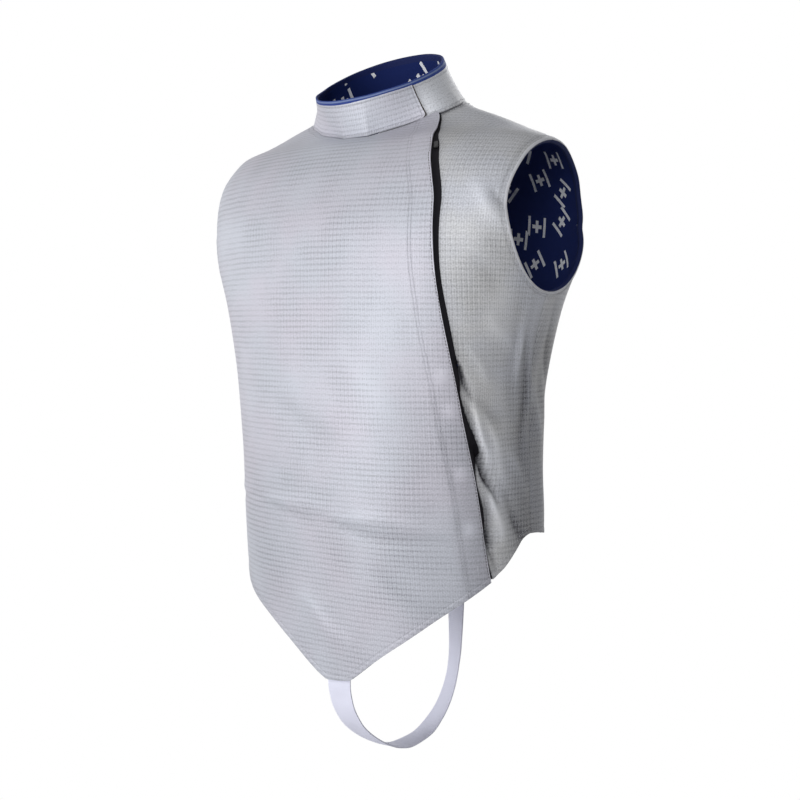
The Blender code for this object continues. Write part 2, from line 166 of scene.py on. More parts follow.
def runningLength(points, axis):
    steps = np.linalg.norm(np.diff(points, axis=axis), axis=2)
    return np.concatenate([np.zeros_like(steps.take([0], axis)), np.cumsum(steps, axis)], axis)


# lengths along the cloth, round each level from the front middle and up each turn from the lowest level
arcTurns = np.linspace(0, 180, 181)
arcHeights = np.linspace(-0.64, 0.018, 165)
arcPoints = softForm(arcTurns[:, None], arcHeights[None, :])
arcAround = runningLength(arcPoints, 0)
arcUp = runningLength(arcPoints, 1)


def levelOf(height):
    return (height - arcHeights[0]) / (arcHeights[1] - arcHeights[0])


def readTable(table, turn, height):
    a = np.clip(np.abs(turn), 0, len(arcTurns) - 1.001)
    b = np.clip(levelOf(height), 0, len(arcHeights) - 1.001)
    i, j = a.astype(int), b.astype(int)
    a, b = a - i, b - j
    return ((1 - a) * (1 - b) * table[i, j] + a * (1 - b) * table[i + 1, j]
            + (1 - a) * b * table[i, j + 1] + a * b * table[i + 1, j + 1])


def aroundAt(turn, height):  # round the body from the front middle, below zero to the right
    turn = wrapTurn(turn)
    return np.sign(turn) * readTable(arcAround, turn, height)


yoke = {"height": -0.090, "steps": 12}


def grainAt(turn, height):  # place in the woven cloth: along the ribs, and up across them
    turn = wrapTurn(turn)
    isBack = np.abs(turn) > 90
    level = np.minimum(height, yoke["height"])
    above = np.maximum(height, yoke["height"]) - yoke["height"]
    x = np.abs(plainForm(turn, height)[..., 0])
    angle = turnAtX(x, yoke["height"])
    foot = np.where(above > 0, np.where(isBack, 180 - angle, angle), np.abs(turn))
    z = yoke["height"] + above[..., None] * np.linspace(0, 1, yoke["steps"] + 1)
    depth = np.where(isBack[..., None], formAt("back", z), -formAt("front", z))
    y = formAt("sideY", z) + depth * shareOut(x[..., None], z)[1]
    up = readTable(arcUp, foot, level) + np.hypot(np.diff(y), np.diff(z)).sum(-1)
    around = readTable(arcAround, foot, level)
    around = np.where(isBack, readTable(arcAround, np.full_like(foot, 180), level) - around, around)
    return np.stack([np.sign(turn) * np.where(isBack, -1, 1) * around, up], -1)


def rowShares(below, beside, above):  # 0 at the hem, 1 under the arm, 2 at the shoulder tip, 3 at the neck
    low = np.linspace(0, 1, below + 1)[:-1]
    side = 1.5 - 0.5 * np.cos(np.pi * np.arange(beside) / beside)
    return np.concatenate([low, side, np.linspace(2, 3, above + 1)])


def rowHeight(share, turn):
    turn = wrapTurn(turn)
    hem, shoulder, neck = cutAt("hem", turn), cutAt("shoulder", turn), cutAt("neck", turn)
    low = hem + (armhole["under"] - hem) * share
    side = armhole["under"] + (shoulder - armhole["under"]) * (share - 1)
    return np.where(share <= 1, low, np.where(share <= 2, side, shoulder + (neck - shoulder) * (share - 2)))


armholeTop = float(cutAt("shoulder", 90.0))
armholeMiddle = (armholeTop + armhole["under"]) / 2


def findTurn(start, shape, isPast):  # one turn for each place, by halving
    low, high = np.full(shape, start), np.full(shape, 90.0)
    for step in range(34):
        middle = (low + high) / 2
        past = isPast(middle)
        high = np.where(past, middle, high)
        low = np.where(past, low, middle)
    return (low + high) / 2


def armholeReach(s, isFront):  # half width of the oval, -1 at its foot and 1 at its top
    swell = armhole["backSwell"] * smoothStep(s - armhole["swellFrom"])
    return np.where(isFront, armhole["toFront"], armhole["toBack"] * (1 + swell))


def sideTurns(shares, isFront):
    def isPast(turn):
        bodyTurn = turn if isFront else 180 - turn
        point = softForm(bodyTurn, rowHeight(shares, bodyTurn))
        s = (point[..., 2] - armholeMiddle) / (armholeTop - armholeMiddle)
        edge = armholeReach(s, isFront) * np.sqrt(np.maximum(0, 1 - s * s))
        return np.abs(point[..., 1] - armhole["middleY"]) < edge

    turns = findTurn(20.0, len(shares), isPast)
    beside = (shares > 1.0001) & (shares < 1.9999)
    return np.where(beside, np.minimum(turns, 90 - seamTurn), 90 - seamTurn)


def openingTurns(shares, pastStrip):
    def isPast(turn):
        point = softForm(turn, rowHeight(shares, turn))
        strip = smoothCurve(stripLine, "height", "width", point[..., 2]) if pastStrip else 0
        return point[..., 0] > edgeX(point[..., 2]) + strip

    return findTurn(5.0, len(shares), isPast)


# folds: turn and height of each end, depth (below zero a trough), half width, both in metres
folds = [
    (49, -0.258, 57.6, -0.302, -0.007, 0.0024), (54, -0.298, 61, -0.368, -0.0036, 0.004),
    (56, -0.339, 68.5, -0.407, -0.0088, 0.0034), (60.5, -0.43, 65.5, -0.452, -0.004, 0.0042),
    (61.5, -0.392, 66.5, -0.478, -0.0055, 0.004), (56.5, -0.296, 64.5, -0.372, 0.0042, 0.007),
    (60, -0.3, 73, -0.398, 0.0036, 0.008), (64, -0.38, 70.5, -0.452, 0.004, 0.0065),
    (53, -0.246, 66, -0.29, 0.003, 0.006), (53, -0.248, 67, -0.288, -0.0018, 0.006),
    (56, -0.296, 72, -0.328, -0.0024, 0.0095), (58, -0.215, 78, -0.262, 0.0018, 0.008),
    (68, -0.18, 75, -0.335, -0.0007, 0.007), (74, -0.176, 79.5, -0.33, 0.0016, 0.0065),
    (79, -0.205, 83.5, -0.4, -0.0015, 0.006), (83.5, -0.19, 86.5, -0.36, 0.0012, 0.005),
    (68, -0.38, 86, -0.452, -0.0024, 0.008), (72, -0.345, 89, -0.405, 0.0018, 0.0085),
    (76, -0.41, 82, -0.45, -0.0014, 0.0045), (76.5, -0.198, 78, -0.285, 0.0013, 0.0032),
    (75.2, -0.215, 75.8, -0.29, -0.0012, 0.0018), (50, -0.147, 57, -0.149, -0.0009, 0.0022),
    (50, -0.098, 57.5, -0.118, -0.002, 0.003), (44, -0.085, 62, -0.15, 0.0022, 0.01),
    (47, -0.16, 64, -0.205, -0.001, 0.01), (-62, -0.402, 10, -0.414, 0.0014, 0.0055),
    (-24, -0.409, 50, -0.431, 0.0015, 0.0058), (-66, -0.411, 6, -0.424, -0.0015, 0.0046),
    (-20, -0.419, 52, -0.443, -0.0016, 0.0048), (18, -0.47, 44, -0.52, -0.0009, 0.009),
    (-20, -0.3, 12, -0.345, -0.0014, 0.016), (8, -0.23, 34, -0.33, 0.0012, 0.02),
    (-14, -0.505, 10, -0.56, 0.0016, 0.011), (-80, -0.215, -58, -0.33, -0.0022, 0.008),
    (-88, -0.21, -72, -0.36, 0.0018, 0.008), (-60, -0.1, -48, -0.16, -0.0022, 0.008),
    (-68, -0.405, -86, -0.448, -0.003, 0.009), (100, -0.19, 122, -0.32, -0.0026, 0.009),
    (95, -0.24, 108, -0.38, 0.002, 0.008), (-100, -0.195, -122, -0.31, -0.0026, 0.009),
    (-96, -0.23, -112, -0.4, 0.002, 0.009), (130, -0.345, 205, -0.362, -0.003, 0.009),
    (170, -0.366, 232, -0.348, -0.0026, 0.008), (140, -0.392, 190, -0.38, 0.0022, 0.009),
    (176, -0.384, 220, -0.372, 0.002, 0.009), (118, -0.12, 140, -0.15, -0.0026, 0.011),
    (-118, -0.118, -142, -0.155, -0.0026, 0.01),
]
swells = [  # broad soft swells: turn, height, rise, reach
    (4, -0.140, 0.0012, 0.050), (-22, -0.240, -0.0012, 0.045), (22, -0.300, 0.0014, 0.035),
    (-8, -0.360, 0.0012, 0.045), (34, -0.470, -0.0014, 0.030), (-30, -0.480, 0.0012, 0.040),
    (52, -0.160, 0.0016, 0.030), (74, -0.250, -0.0008, 0.026), (160, -0.200, 0.0016, 0.050),
    (-150, -0.290, -0.0014, 0.050), (178, -0.400, 0.0014, 0.040), (112, -0.420, 0.0014, 0.030),
]
foldShape = {"bow": 0.03, "fade": 0.8, "opens": 0.5, "crest": 1.6, "narrow": 0.75, "fullShade": 0.0065}


def unrolled(turn, height, fromBack):  # the body laid flat, from the middle of the front or of the back
    around = aroundAt(turn, height)
    if fromBack:
        half = readTable(arcAround, np.full(np.shape(around), 180.0), height)
        around = np.where(around < 0, half + around, around - half)
    return np.stack([around, height + 0 * around], -1)


def mound(turn, height, atTurn, atHeight, rise, reach):
    away = plainForm(turn, height) - plainForm(np.array(float(atTurn)), np.array(atHeight))
    return rise * fade(np.linalg.norm(away, axis=-1), reach)


def foldForm(turn, height):  # rise of the folds, and how far each trough is shaded
    turn, height = np.broadcast_arrays(np.asarray(turn, float), np.asarray(height, float))
    flat = [unrolled(turn, height, fromBack) for fromBack in (False, True)]
    rise, shade = np.zeros(turn.shape), np.zeros(turn.shape)
    for turnA, heightA, turnB, heightB, depth, width in folds:
        fromBack = abs(turnA) > 90
        start, end = unrolled(np.array([turnA, turnB], float), np.array([heightA, heightB]), fromBack)
        along = end - start
        length = np.hypot(*along)
        away = flat[fromBack] - start
        s = away @ along / length ** 2
        inside = np.clip(s, 0, 1)
        arch = np.sin(np.pi * inside)
        near = (away[..., 0] * along[1] - away[..., 1] * along[0]) / length
        near = near + foldShape["bow"] * length * arch * np.cos(7 * inside + turnA)  # never quite straight
        wide = width * (1 + foldShape["opens"] * (inside - 0.5))
        deep = depth * arch ** foldShape["fade"] * ((s > 0) & (s < 1))  # it runs out at both ends
        rise += deep * fade(near, wide, foldShape["crest"])
        shade -= deep / foldShape["fullShade"] * fade(near, wide * foldShape["narrow"], foldShape["crest"])
    for swell in swells:
        rise += mound(turn, height, *swell)
    return rise, shade


def bodyPoint(turn, height, out):
    lift = out + foldForm(turn, height)[0]
    return softForm(turn, height) + outwardAt(turn, height) * lift[..., None]


def edgeDistances(turn, height):  # metres to the hem, flap's edge, armhole, neck and side seam
    turn = wrapTurn(turn)
    step, down = 0.5, 0.002
    hem = cutAt("hem", turn)
    lean = cutAt("hem", turn + step) - cutAt("hem", turn - step)
    across = np.abs(aroundAt(turn + step, height) - aroundAt(turn - step, height))
    besideWrap = np.abs(aroundAt(179.0, height) - aroundAt(178.0, height))
    across = np.where(np.abs(np.abs(turn) - 180) < 1, besideWrap, across)
    point = softForm(turn, height)
    slope = np.linalg.norm(point - softForm(turn, height - down), axis=-1) / down
    toEdge = np.where(point[..., 1] < armhole["middleY"], armhole["toFront"], armhole["toBack"])
    oval = np.hypot((point[..., 1] - armhole["middleY"]) / toEdge,
                    (point[..., 2] - armholeMiddle) / (armholeTop - armholeMiddle))
    toSide = readTable(arcAround, np.full_like(turn, 90.0), height) - readTable(arcAround, turn, height)
    return {"hem": (height - hem) / np.sqrt(1 + (lean / np.maximum(across, 1e-5)) ** 2),
            "flap": aroundAt(turnAtX(edgeX(height), height), height) - aroundAt(turn, height),
            "arm": (oval - 1) * armhole["meanReach"], "neck": (cutAt("neck", turn) - height) * slope,
            "side": np.abs(toSide)}


def deselectAll():
    if bpy.context.object and bpy.context.object.mode != "OBJECT":
        bpy.ops.object.mode_set(mode="OBJECT")
    bpy.ops.object.select_all(action="DESELECT")


def applyModifier(piece, kind, **settings):
    bpy.context.view_layer.objects.active = piece
    modifier = piece.modifiers.new(kind.lower(), kind)
    for key, value in settings.items():
        setattr(modifier, key, value)
    bpy.ops.object.modifier_apply(modifier=modifier.name)


def editAll(operator, **settings):  # one operator on the whole mesh of the active piece
    bpy.ops.object.mode_set(mode="EDIT")
    bpy.ops.mesh.select_all(action="SELECT")
    operator(**settings)
    bpy.ops.object.mode_set(mode="OBJECT")


def clothSheet(name, points, grain, marks, thickness, closed=False, offset=-1):
    rows, columns = points.shape[0] - 1, points.shape[1] - 1
    deselectAll()
    bpy.ops.mesh.primitive_grid_add(x_subdivisions=columns, y_subdivisions=rows, size=1)
    piece = bpy.context.object
    piece.name = piece.data.name = name
    mesh = piece.data
    mesh.vertices.foreach_set("co", points.ravel())  # the grid's points run along each row, row by row
    corners = np.empty(len(mesh.loops), int)
    mesh.loops.foreach_get("vertex_index", corners)
    mesh.uv_layers[0].name = "grain"
    mesh.uv_layers[0].data.foreach_set("uv", grain.reshape(-1, 2)[corners].ravel())
    for key, values in marks.items():
        isVector = values.ndim == 3
        mark = mesh.attributes.new(key, "FLOAT_VECTOR" if isVector else "FLOAT", "POINT")
        mark.data.foreach_set("vector" if isVector else "value", values.ravel())
    if closed:  # the last column lies on the first
        editAll(bpy.ops.mesh.remove_doubles, threshold=0.00002)
    applyModifier(piece, "SOLIDIFY", thickness=thickness, offset=offset)
    bpy.ops.object.shade_smooth_by_angle(angle=math.radians(50))
    return piece


def newMaterial(name, colour, roughness, metallic=0.0, gloss=0.5):
    material = bpy.data.materials.new(name)
    material.use_nodes = True
    shader = material.node_tree.nodes["Principled BSDF"].inputs
    shader["Base Color"].default_value = (*colour, 1)
    shader["Roughness"].default_value = roughness
    shader["Metallic"].default_value = metallic
    shader["Specular IOR Level"].default_value = gloss
    return material


def addNode(tree, kind, inputs=None, **settings):
    node = tree.nodes.new(kind)
    for key, value in settings.items():
        setattr(node, key, value)
    for key, value in (inputs or {}).items():
        if isinstance(value, bpy.types.NodeSocket):
            tree.links.new(value, node.inputs[key])
        else:
            node.inputs[key].default_value = value
    return node


def calculate(tree, operation, first, second=0.0, third=0.0):
    return addNode(tree, "ShaderNodeMath", {0: first, 1: second, 2: third}, operation=operation).outputs[0]


def times(tree, first, second, added=0.0):
    return calculate(tree, "MULTIPLY_ADD", first, second, added)


def overAll(tree, operation, first, *others):  # the least or the greatest of several values
    for value in others:
        first = calculate(tree, operation, first, value)
    return first


def calculateVector(tree, operation, first, second=(0, 0, 0), scale=1.0):
    inputs = {0: first, 1: second, 3: scale}
    return addNode(tree, "ShaderNodeVectorMath", inputs, operation=operation).outputs[0]


def remap(tree, value, low, high, toLow=0.0, toHigh=1.0):
    inputs = {"Value": value, "From Min": low, "From Max": high, "To Min": toLow, "To Max": toHigh}
    return addNode(tree, "ShaderNodeMapRange", inputs).outputs["Result"]


def bands(tree, grain, direction, pitch, wander=0.0):  # 0 to 1 and back once in each pitch
    inputs = {"Vector": grain, "Scale": 0.314159 / pitch, "Distortion": wander, "Detail": 2.0,
              "Detail Scale": 0.6}
    return addNode(tree, "ShaderNodeTexWave", inputs, bands_direction=direction).outputs["Fac"]


def cloudy(tree, grain, scale, detail=2.0):
    inputs = {"Vector": grain, "Scale": scale, "Detail": detail}
    return addNode(tree, "ShaderNodeTexNoise", inputs).outputs["Fac"]


def mixColour(tree, factor, first, second):
    ends = {6: first, 7: second}
    for key, value in ends.items():
        if not isinstance(value, bpy.types.NodeSocket):
            ends[key] = (*value, 1)
    return addNode(tree, "ShaderNodeMix", {0: factor, **ends}, data_type="RGBA").outputs[2]


def plugIn(tree, value, name):
    tree.links.new(value, tree.nodes["Principled BSDF"].inputs[name])


def grainOf(tree):
    return addNode(tree, "ShaderNodeUVMap", uv_map="grain").outputs["UV"]


def finishCloth(tree, colour, relief, distance, strength=1.0):
    bump = addNode(tree, "ShaderNodeBump", {"Height": relief, "Strength": strength, "Distance": distance})
    plugIn(tree, colour, "Base Color")
    plugIn(tree, bump.outputs["Normal"], "Normal")


silverLook = {
    "cool": (0.585, 0.605, 0.675), "warm": (0.605, 0.595, 0.670), "shade": (0.130, 0.132, 0.155),
    "roughness": 0.52, "metallic": 0.15, "bump": 0.00009, "seam": 0.14, "seamWidth": 0.0012,
    "ribPitch": 0.0057, "rib": 0.34, "finePitch": 0.0025, "fine": 0.15, "beatPitch": 0.0048, "beat": 0.12,
    "speckScale": 620.0, "speck": 0.15, "patchScale": 16.0, "wideScale": 7.0, "tintScale": 9.0,
}
# its base is lighter and is darkened evenly through the shade attribute, which leaves room for a painted
# highlight
# the side and back panels: the same silver cloth with a painted tint, less lilac, as it looks in the light on
# that side
sideLook = silverLook | {"cool": (0.750, 0.772, 0.845), "warm": (0.773, 0.778, 0.795),
                         "shade": (0.050, 0.050, 0.060), "rib": 0.20, "metallic": 0.10}
heatherLook = sideLook | {"cool": (0.68, 0.70, 0.75), "warm": (0.70, 0.70, 0.72), "speck": 0.26, "rib": 0.12,
                          "fine": 0.10}


def makeSilver(name, look):
    material = newMaterial(name, look["cool"], look["roughness"], look["metallic"])
    tree = material.node_tree
    grain = grainOf(tree)
    fine = bands(tree, grain, "X", look["finePitch"], 0.6)
    ribs = remap(tree, bands(tree, grain, "Y", look["ribPitch"], 0.9), 0.42, 1.0)
    ribs = times(tree, ribs, times(tree, fine, 0.5, 0.5))
    beat = bands(tree, grain, "X", look["beatPitch"], 1.2)
    patch = remap(tree, cloudy(tree, grain, look["patchScale"], 3.0), 0.36, 0.62)
    wide = remap(tree, cloudy(tree, grain, look["wideScale"]), 0.35, 0.65)
    speck = remap(tree, cloudy(tree, grain, look["speckScale"]), 0.3, 0.7, -look["speck"], look["speck"])
    toSeams = []
    for key in ("seamsA", "seamsB"):  # signed distances to the sewn lines
        lines = addNode(tree, "ShaderNodeAttribute", attribute_name=key).outputs["Vector"]
        away = calculateVector(tree, "ABSOLUTE", lines)
        toSeams += addNode(tree, "ShaderNodeSeparateXYZ", {"Vector": away}).outputs[:]
    sewn = remap(tree, overAll(tree, "MINIMUM", *toSeams), look["seamWidth"], 0.0)
    shade = addNode(tree, "ShaderNodeAttribute", attribute_name="shade").outputs["Fac"]
    dark = times(tree, ribs, times(tree, patch, look["rib"] * 0.6, look["rib"] * 0.4))
    dark = times(tree, fine, times(tree, wide, look["fine"]), dark)
    dark = times(tree, beat, times(tree, patch, look["beat"]), dark)
    dark = calculate(tree, "ADD", calculate(tree, "ADD", dark, speck), shade)
    dark = times(tree, sewn, look["seam"], dark)
    relief = calculate(tree, "SUBTRACT", times(tree, fine, 0.35), ribs)
    relief = calculate(tree, "SUBTRACT", relief, times(tree, sewn, 2.0))
    patches = remap(tree, cloudy(tree, grain, look["tintScale"], 3.0), 0.40, 0.60)
    tint = mixColour(tree, patches, look["cool"], look["warm"])
    finishCloth(tree, mixColour(tree, dark, tint, look["shade"]), relief, look["bump"])
    return material


liningLook = {
    "navy": (0.0100, 0.0210, 0.1150), "print": (0.93, 0.95, 1.00), "roughness": 0.72, "gloss": 0.1,
    "bump": 0.00012, "weave": 0.0011, "cell": 0.046, "scatter": 0.55,
    "barAway": 0.25, "barHalf": (0.24, 0.040), "crossHalf": (0.15, 0.045),
}


def makeLining(look):  # navy cloth with a scattered sprig of a cross between two bars
    material = newMaterial("navyLining", look["navy"], look["roughness"], gloss=look["gloss"])
    tree = material.node_tree
    grain = grainOf(tree)
    inputs = {"Vector": grain, "Scale": 1 / look["cell"], "Randomness": look["scatter"]}
    cells = addNode(tree, "ShaderNodeTexVoronoi", inputs, voronoi_dimensions="2D").outputs
    local = calculateVector(tree, "SUBTRACT", grain, cells["Position"])
    local = calculateVector(tree, "SCALE", local, scale=1 / look["cell"])
    inputs = {"Vector": local, "Angle": times(tree, cells["Color"], 6.28)}
    turned = addNode(tree, "ShaderNodeVectorRotate", inputs, rotation_type="Z_AXIS").outputs[0]
    away = calculateVector(tree, "ABSOLUTE", turned)
    x, y = addNode(tree, "ShaderNodeSeparateXYZ", {"Vector": away}).outputs[:2]

    def block(along, across, half):
        isWithin = [calculate(tree, "LESS_THAN", *pair) for pair in zip((along, across), half)]
        return times(tree, *isWithin)

    fromBar = calculate(tree, "ABSOLUTE", calculate(tree, "SUBTRACT", y, look["barAway"]))
    marks = overAll(tree, "MAXIMUM", block(x, fromBar, look["barHalf"]),
                    block(y, x, look["crossHalf"]), block(x, y, look["crossHalf"]))
    worn = times(tree, marks, remap(tree, cloudy(tree, grain, 900.0), 0.3, 0.5, 0.75, 1.0))
    weave = calculate(tree, "ADD", *[bands(tree, grain, direction, look["weave"]) for direction in "XY"])
    finishCloth(tree, mixColour(tree, worn, look["navy"], look["print"]), weave, look["bump"], 0.8)
    return material


plainLook = {"roughness": 0.7, "gloss": 0.2, "pitch": 0.0010, "stretch": 1, "contrast": 0.5, "bump": 0.00012}


def makePlainWeave(name, look):  # a fine weave, with a painted highlight line or another colour past a line
    look = plainLook | look
    material = newMaterial(name, look["colour"], look["roughness"], gloss=look["gloss"])
    tree = material.node_tree
    grain = grainOf(tree)
    weave = times(tree, bands(tree, grain, "Y", look["pitch"], 0.3),
                  bands(tree, grain, "X", look["pitch"] * look["stretch"], 0.3))
    mixed = mixColour(tree, times(tree, weave, look["contrast"]), look["colour"], look["dark"])
    if "inner" in look:
        place = addNode(tree, "ShaderNodeSeparateXYZ", {"Vector": grain}).outputs["Y"]
        if "highlightLine" in look:
            fromHighlightLine = calculate(tree, "ABSOLUTE", calculate(tree, "SUBTRACT", place, look["highlightLineAt"]))
            mixed = mixColour(tree, remap(tree, fromHighlightLine, 0.0012, 0.0004, 0.0, 0.7), mixed, look["highlightLine"])
        pastLine = remap(tree, place, look["innerFrom"] - 0.0003, look["innerFrom"] + 0.0003)
        mixed = mixColour(tree, pastLine, mixed, look["inner"])
    finishCloth(tree, mixed, weave, look["bump"])
    return material


def wear(piece, material):
    piece.data.materials.clear()
    piece.data.materials.append(material)
    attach(piece, "root")
    return piece


silver = makeSilver("silverCloth", silverLook)
sideSilver = makeSilver("silverSide", sideLook)
heather = makeSilver("silverHeather", heatherLook)
navy = makeLining(liningLook)
blackWeave = makePlainWeave("blackTape", {
    "colour": (0.013, 0.012, 0.016), "dark": (0.002, 0.002, 0.003), "roughness": 0.75, "gloss": 0.15,
    "contrast": 0.7, "bump": 0.00015})
greyWeave = makePlainWeave("greyBinding", {
    "colour": (0.86, 0.87, 0.92), "dark": (0.50, 0.50, 0.54), "pitch": 0.0009,
    "inner": (0.0050, 0.0110, 0.0620), "innerFrom": 0.0034})
print("cloths made")

panelGrid = {"rows": (100, 60, 34), "right": 82, "point": 8, "flap": 62, "left": 52,
             "backRows": (70, 44, 24), "back": 110,
             "innerRows": (70, 36, 18), "lining": (48, 5, 55), "liningBack": 56, "tape": (10, 4, 10)}
seams = {"hem": 0.0055, "arm": 0.0040, "neck": 0.0050, "hemThicker": 0.0004,
         "rolls": {"side": (0.0006, 0.0020), "neck": (0.0006, 0.0030)}}
flapLook = {"lift": 0.0030, "reach": 0.035, "placket": 0.0225, "twin": 0.0034, "placketRun": (-0.494, -0.072),
            "edgeStitch": 0.0013, "edgeRun": (-0.478, -0.045)}
snaps = {"turn": [46.4, 49.2, 52.6, 55.2], "height": [-0.278, -0.311, -0.372, -0.428], "rise": 0.0011,
         "reach": 0.0072}


def drawIn(s, amount):  # even steps from 0 to 1, made closer towards both ends
    return s - amount * np.sin(2 * np.pi * s) / (2 * np.pi)


def closer(count):
    return drawIn(np.linspace(0, 1, count + 1), 0.62)


def stretchColumns(edges, counts):
    parts = [start[:, None] + (end - start)[:, None] * closer(count)[None, :-1]
             for start, end, count in zip(edges, edges[1:], counts)]
    return np.concatenate(parts + [edges[-1][:, None]], 1)


def frontEdges(rows):  # turns of the side seam, the hem's point, the flap's edge and the left panel's edge
    point = [np.full(len(rows), turn) for turn in pointTurns]
    return sideTurns(rows, True), point, openingTurns(rows, False), openingTurns(rows, True)


def backColumns(rows, count):
    side = sideTurns(rows, False)
    return stretchColumns([180 - side, 180 + side], [count])


def snapRise(turn, height):
    return sum(mound(turn, height, *place, snaps["rise"], snaps["reach"])
               for place in zip(snaps["turn"], snaps["height"]))


def flapRise(turn, height):
    inside = edgeX(height) - plainForm(turn, height)[..., 0]
    return flapLook["lift"] * smoothStep(1 - inside / flapLook["reach"]) + snapRise(turn, height)


seamShade = {"arm": (0.06, 0.004), "neck": (0.10, 0.003), "hem": (0.10, 0.0015), "folds": 0.7}
# the flap's painted highlights (snaps, edge) and painted shade (placket, low down, twin stitching)
flapShade = {"snaps": 0.34, "edge": 0.32, "edgeReach": 0.0014, "placket": 0.02, "lowPlacket": 0.05,
             "lowMiddle": 0.04, "low": 0.15, "twins": 0.13, "twinReach": 0.0032}
# 'rest' and 'plain' darken evenly to take the side cloth's lighter base back down; 'depth' is painted shade
# away from the light
sideShade = {"rest": 0.84, "plain": 0.16, "depth": 0.46}
# painted shadow under the collar and the flap, painted shade at the shoulder, a painted highlight ('patch')
# below the arm
underShade = {"collar": 0.80, "collarReach": 0.0050, "top": 0.17, "patch": 0.20, "flap": 0.20, "perTurn": 1.3}


def shadeSeams(turns, heights, away):
    shade = seamShade["folds"] * foldForm(turns, heights)[1]
    for edge in ("arm", "neck", "hem"):
        amount, reach = seamShade[edge]
        shade = shade + amount * fade(np.maximum(away[edge], 0), reach)
    return shade


# darker over the placket and along the twin stitching, partly the seamed cloth and partly painted shade
# painted light on the flap: painted highlights over the snaps and along its edge, painted shade towards the
# hem
def shadeFlap(shade, turns, heights, away):
    fromTwins = away["flap"] - flapLook["placket"] - flapLook["twin"] / 2
    low = easeBetween(heights, -0.28, -0.34)
    onPlacket = flapShade["placket"] + flapShade["lowPlacket"] * low
    uneven = 0.6 + 0.4 * np.sin(heights * 160)
    return (shade - flapShade["snaps"] * snapRise(turns, heights) / snaps["rise"]
            - flapShade["edge"] * fade(away["flap"], flapShade["edgeReach"])
            + onPlacket * easeBetween(away["flap"], 0.034, 0.022)
            + flapShade["lowMiddle"] * low * easeBetween(turns, 18, 48)
            + flapShade["low"] * easeBetween(heights, -0.28, -0.44)
            + flapShade["twins"] * low * uneven * fade(fromTwins, flapShade["twinReach"]))


def shadeSide(shade, turns, heights, away):  # away from the light, low on the left side
    turned = easeBetween(turns, 68, 86) * easeBetween(turns, 150, 110)
    shade = sideShade["rest"] * shade + sideShade["plain"]
    return shade + sideShade["depth"] * turned * easeBetween(heights, -0.18, -0.30)


# also painted shade near the shoulder, and a painted highlight on the side below the arm
def shadeUnderFlap(shade, turns, heights, away):  # in the shadow of the flap and of the collar
    shade = shadeSide(shade, turns, heights, away)
    deep = easeBetween(heights, -0.20, -0.26) * (1 - 0.6 * easeBetween(heights, -0.42, -0.47))
    return (shade + underShade["collar"] * fade(away["neck"], underShade["collarReach"])
            + underShade["top"] * easeBetween(heights, -0.075, -0.035)
            - underShade["patch"] * fade(turns - 64, 8) * fade(heights + 0.205, 0.045)
            + underShade["flap"] * (1 + deep) * np.exp(-underShade["perTurn"] * (turns - turns[:, :1])))


def shellSheet(name, turns, shares, material, darken, isFlap=False):
    heights = rowHeight(shares[:, None], turns)
    away = edgeDistances(turns, heights)
    out = flapRise(turns, heights) if isFlap else np.zeros_like(turns)
    out += seams["hemThicker"] * easeBetween(away["hem"], seams["hem"] + 0.0005, seams["hem"] - 0.0010)
    for edge, (depth, reach) in seams["rolls"].items():  # cloth rolls in where it is seamed
        out -= depth * fade(np.maximum(away[edge], 0), reach, 1.5)
    far = np.full_like(turns, 1.0)
    flapLines = [away["flap"] - line if isFlap else far for line in (
        flapLook["placket"], flapLook["placket"] + flapLook["twin"], flapLook["edgeStitch"])]
    seamsA = np.stack([away["hem"] - seams["hem"], *flapLines[:2]], -1)
    seamsB = np.stack([flapLines[2], away["arm"] - seams["arm"], away["neck"] - seams["neck"]], -1)
    shade = darken(shadeSeams(turns, heights, away), turns, heights, away)
    marks = {"seamsA": seamsA, "seamsB": seamsB, "shade": shade}
    piece = clothSheet(name, bodyPoint(turns, heights, out), grainAt(turns, heights), marks, layers["shell"])
    return wear(piece, material)


bodyRows = rowShares(*panelGrid["rows"])
bodyRows = np.where(bodyRows < 1, drawIn(bodyRows, 0.54), bodyRows)
side, point, flap, panel = frontEdges(bodyRows)
columns = stretchColumns([-side, *point, flap], [panelGrid["right"], panelGrid["point"], panelGrid["flap"]])
frontRight = shellSheet("frontRight", columns, bodyRows, silver, shadeFlap, True)
frontLeft = shellSheet("frontLeft", stretchColumns([panel, side], [panelGrid["left"]]), bodyRows, sideSilver,
                       shadeUnderFlap)
backRows = rowShares(*panelGrid["backRows"])
backPanel = shellSheet("backPanel", backColumns(backRows, panelGrid["back"]), backRows, sideSilver, shadeSide)
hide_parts("front_right")
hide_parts("front_left")
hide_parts("back")
print("shell panels made")

# the lining hangs a little behind the folds' troughs and, in front, behind the tape
innerLook = {"hang": 0.0020, "behindTape": 0.0014, "lowBehind": 0.0032, "tapeHalf": 0.016,
             "tapeIn": 1 / 7, "tapeOut": 1 / 5}


def innerSheet(name, turns, out, material):
    heights = rowHeight(innerRows[:, None], turns)
    thickness = layers["tape"] if name == "zipTape" else layers["lining"]
    out = out - innerLook["hang"] * np.clip(foldForm(turns, heights)[1], 0, 1)
    if name == "liningFront":
        fromTape = plainForm(turns, heights)[..., 0] - edgeX(heights)
        behind = innerLook["behindTape"] + innerLook["lowBehind"] * easeBetween(heights, -0.24, -0.28)
        out = out - behind * fade(fromTape, innerLook["tapeHalf"])
    piece = clothSheet(name, bodyPoint(turns, heights, out), grainAt(turns, heights), {}, thickness)
    return wear(piece, material)


